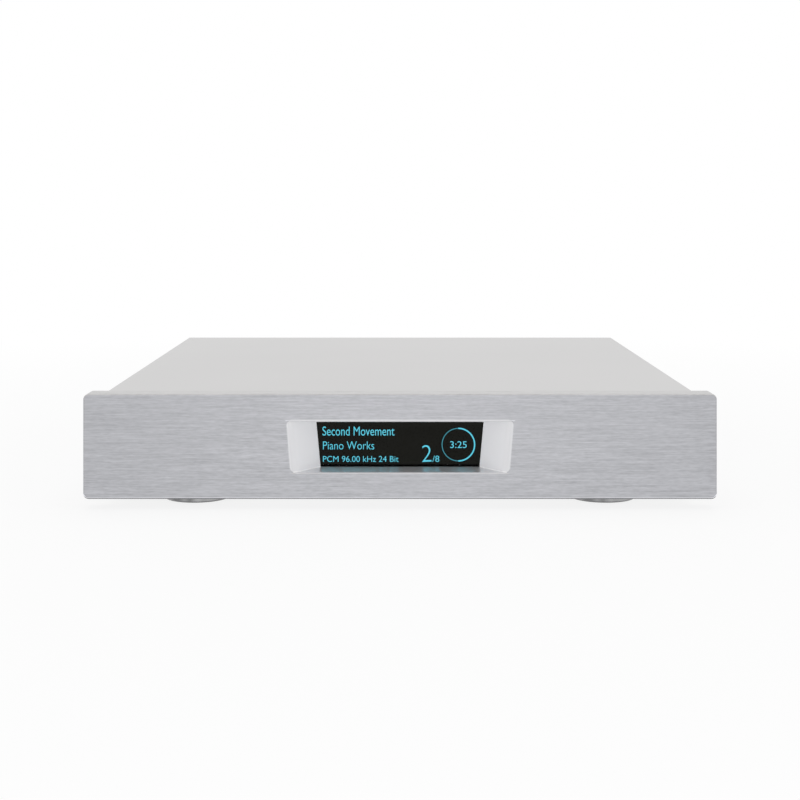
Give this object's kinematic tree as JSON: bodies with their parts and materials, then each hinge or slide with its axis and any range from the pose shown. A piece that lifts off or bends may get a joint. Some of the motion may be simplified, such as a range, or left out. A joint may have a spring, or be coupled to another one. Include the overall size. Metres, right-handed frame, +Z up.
{
  "type": "network music streamer",
  "caption": "Low silver component with a thick brushed front panel, a scooped display window, round feet and a rear panel of power, data and audio sockets.",
  "frame": {"origin": "on the surface it stands on, at the middle of its width and overall depth", "axes": "+Z up, +Y towards the rear sockets, the front panel faces -Y, +X to the right seen from the front"},
  "size_m": [0.35, 0.3578, 0.0637],
  "materials": {
    "front_aluminium": "brushed along its length, clear anodised",
    "cover_aluminium": "fine blasted, clear anodised",
    "rear_aluminium": "fine blasted, clear anodised",
    "inner_steel": "zinc plated sheet",
    "post_aluminium": "sawn and milled bar",
    "foot_aluminium": "turned, clear anodised",
    "black_rubber": "soft matte",
    "window_glass": "dark tinted, polished",
    "display_glass": "black display face",
    "display_light": "lit cyan segments",
    "board_green": "solder mask on glass fibre",
    "chip_black": "moulded packages",
    "capacitor_sleeve": "shrink sleeve with bare top",
    "winding_tape": "wrapped polyester tape",
    "sink_black": "black anodised",
    "black_plastic": "fine moulded grain",
    "rocker_plastic": "semi-gloss moulding",
    "clear_glass": "fuse tube",
    "gold_plate": "gold plated",
    "nickel_plate": "nickel plated",
    "tin_plate": "tinned pressing",
    "socket_white": "moulded core",
    "socket_red": "moulded core",
    "screw_steel": "stainless",
    "lead_sleeve": "insulated wire",
    "ribbon_grey": "flat cable",
    "transformer_shell": "potted case"
  },
  "bodies": {
    "case": {"front_panel": "front_aluminium", "display_window": "window_glass", "window_gasket": "black_rubber", "display_panel": "display_glass", "display_board": "board_green", "front_bracket": "inner_steel", "top_cover": "cover_aluminium", "corner_posts": "post_aluminium", "base_plate": "inner_steel", "rear_panel": "rear_aluminium", "foot_front_left": "foot_aluminium", "foot_front_right": "foot_aluminium", "foot_rear_left": "foot_aluminium", "foot_rear_right": "foot_aluminium", "foot_pads": "black_rubber", "foot_screws": "screw_steel", "foot_nuts": "screw_steel", "panel_screws": "screw_steel", "rear_screws": "screw_steel", "flush_screws": "screw_steel", "mains_inlet": "black_plastic", "inlet_blades": "nickel_plate", "switch_frame": "black_plastic", "ground_stud": "nickel_plate", "usb_socket": "tin_plate", "usb_tongues": "black_plastic", "network_socket": "tin_plate", "network_insert": "black_plastic", "network_contacts": "gold_plate", "coax_socket": "nickel_plate", "coax_nut": "nickel_plate", "coax_core": "socket_white", "line_sockets": "gold_plate", "line_insulator_left": "socket_white", "line_insulator_right": "socket_red", "line_washers": "black_rubber", "balanced_socket_left": "nickel_plate", "balanced_socket_right": "nickel_plate", "balanced_pins": "gold_plate", "board_standoffs": "gold_plate", "board_screws": "screw_steel", "main_board": "board_green", "analog_board": "board_green", "power_board": "board_green", "processor_module": "board_green", "board_chips": "chip_black", "heat_sinks": "sink_black", "capacitors": "capacitor_sleeve", "coupling_transformers": "transformer_shell", "transformer_ring": "winding_tape", "transformer_pads": "black_rubber", "transformer_clamp": "inner_steel", "transformer_bolt": "screw_steel", "leads": "lead_sleeve", "display_ribbon": "ribbon_grey"},
    "rocker": {"power_rocker": "rocker_plastic"},
    "fuse_tray": {"fuse_drawer": "black_plastic", "fuse_link": "clear_glass"},
    "earth_washer": {"ground_washer": "nickel_plate"},
    "earth_nut": {"ground_nut": "gold_plate"}
  },
  "joints": [
    {"name": "power_switch", "type": "hinge", "parent": "case", "child": "rocker", "pos_m": [-0.07928, 0.1649, 0.0341], "axis": [1, 0, 0], "range_deg": [-24, 0]},
    {"name": "fuse_tray_slide", "type": "slide", "parent": "case", "child": "fuse_tray", "axis": [0, 1, 0], "range_m": [0, 0.016]},
    {"name": "earth_washer_slide", "type": "slide", "parent": "case", "child": "earth_washer", "axis": [0, 1, 0], "range_m": [0, 0.0035]},
    {"name": "earth_nut_turn", "type": "hinge", "parent": "earth_washer", "child": "earth_nut", "pos_m": [-0.05582, 0.1676, 0.0247], "axis": [0, 1, 0], "range_deg": [0, 1800]}
  ],
  "couplings": [
    {"joint": "earth_washer_slide", "follows": "earth_nut_turn", "m_per_rad": 0.0001114}
  ]
}
